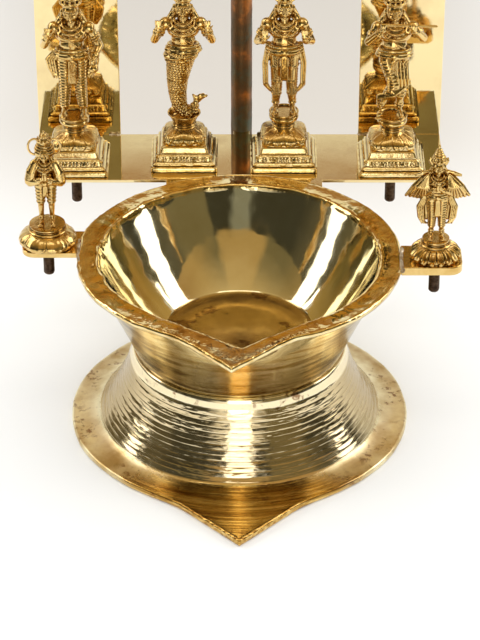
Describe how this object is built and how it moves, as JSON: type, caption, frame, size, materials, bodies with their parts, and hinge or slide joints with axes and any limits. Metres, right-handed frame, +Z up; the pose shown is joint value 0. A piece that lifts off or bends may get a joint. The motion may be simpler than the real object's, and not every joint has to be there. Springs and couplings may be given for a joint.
{
  "type": "brass oil lamp with figures",
  "caption": "Single-bowl brass oil lamp on a flared, ridged foot, with pointed pouring lips and a shelf of small lift-out votive figures in front of an arched back plate.",
  "frame": {"origin": "centre of the lamp's footprint, on the surface it stands on", "axes": "+Z up; -Y towards the viewer, the way the pouring lips point; +X to the viewer's right"},
  "size_m": [0.3194, 0.369, 0.5513],
  "materials": {
    "brass_turned": "lathe-turned, bright, pale",
    "brass_bowl": "hand-worked rim, polished inside",
    "brass_cast": "cast and buffed, dark in the recesses",
    "brass_polished": "mirror-polished sheet",
    "brass_patina": "dark, heat-coloured patina",
    "steel_dark": "oxidised threaded steel"
  },
  "bodies": {
    "lamp": {"foot": "brass_turned", "bowl": "brass_bowl", "left_tang": "brass_cast", "right_tang": "brass_cast", "shelf_plate": "brass_polished", "arch_plate": "brass_polished", "centre_rod": "brass_patina", "finial": "brass_cast"},
    "standing": {"standing_pedestal": "brass_cast", "standing_lotus_seat": "brass_cast", "standing_figure": "brass_cast", "standing_stud": "steel_dark"},
    "fish": {"fish_pedestal": "brass_cast", "fish_lotus_seat": "brass_cast", "fish_figure": "brass_cast", "fish_stud": "steel_dark"},
    "sashed": {"sashed_pedestal": "brass_cast", "sashed_lotus_seat": "brass_cast", "sashed_figure": "brass_cast", "sashed_stud": "steel_dark"},
    "flute": {"flute_pedestal": "brass_cast", "flute_lotus_seat": "brass_cast", "flute_figure": "brass_cast", "flute_stud": "steel_dark"},
    "monkey": {"monkey_lotus_base": "brass_cast", "monkey_figure": "brass_cast", "monkey_stud": "steel_dark"},
    "winged": {"winged_lotus_base": "brass_cast", "winged_figure": "brass_cast", "winged_stud": "steel_dark"}
  },
  "joints": [
    {"name": "standing_lift", "type": "slide", "parent": "lamp", "child": "standing", "axis": [0, 0, 1], "range_m": [0, 0.03]},
    {"name": "fish_lift", "type": "slide", "parent": "lamp", "child": "fish", "axis": [0, 0, 1], "range_m": [0, 0.03]},
    {"name": "sashed_lift", "type": "slide", "parent": "lamp", "child": "sashed", "axis": [0, 0, 1], "range_m": [0, 0.03]},
    {"name": "flute_lift", "type": "slide", "parent": "lamp", "child": "flute", "axis": [0, 0, 1], "range_m": [0, 0.03]},
    {"name": "monkey_lift", "type": "slide", "parent": "lamp", "child": "monkey", "axis": [0, 0, 1], "range_m": [0, 0.021]},
    {"name": "winged_lift", "type": "slide", "parent": "lamp", "child": "winged", "axis": [0, 0, 1], "range_m": [0, 0.021]}
  ]
}
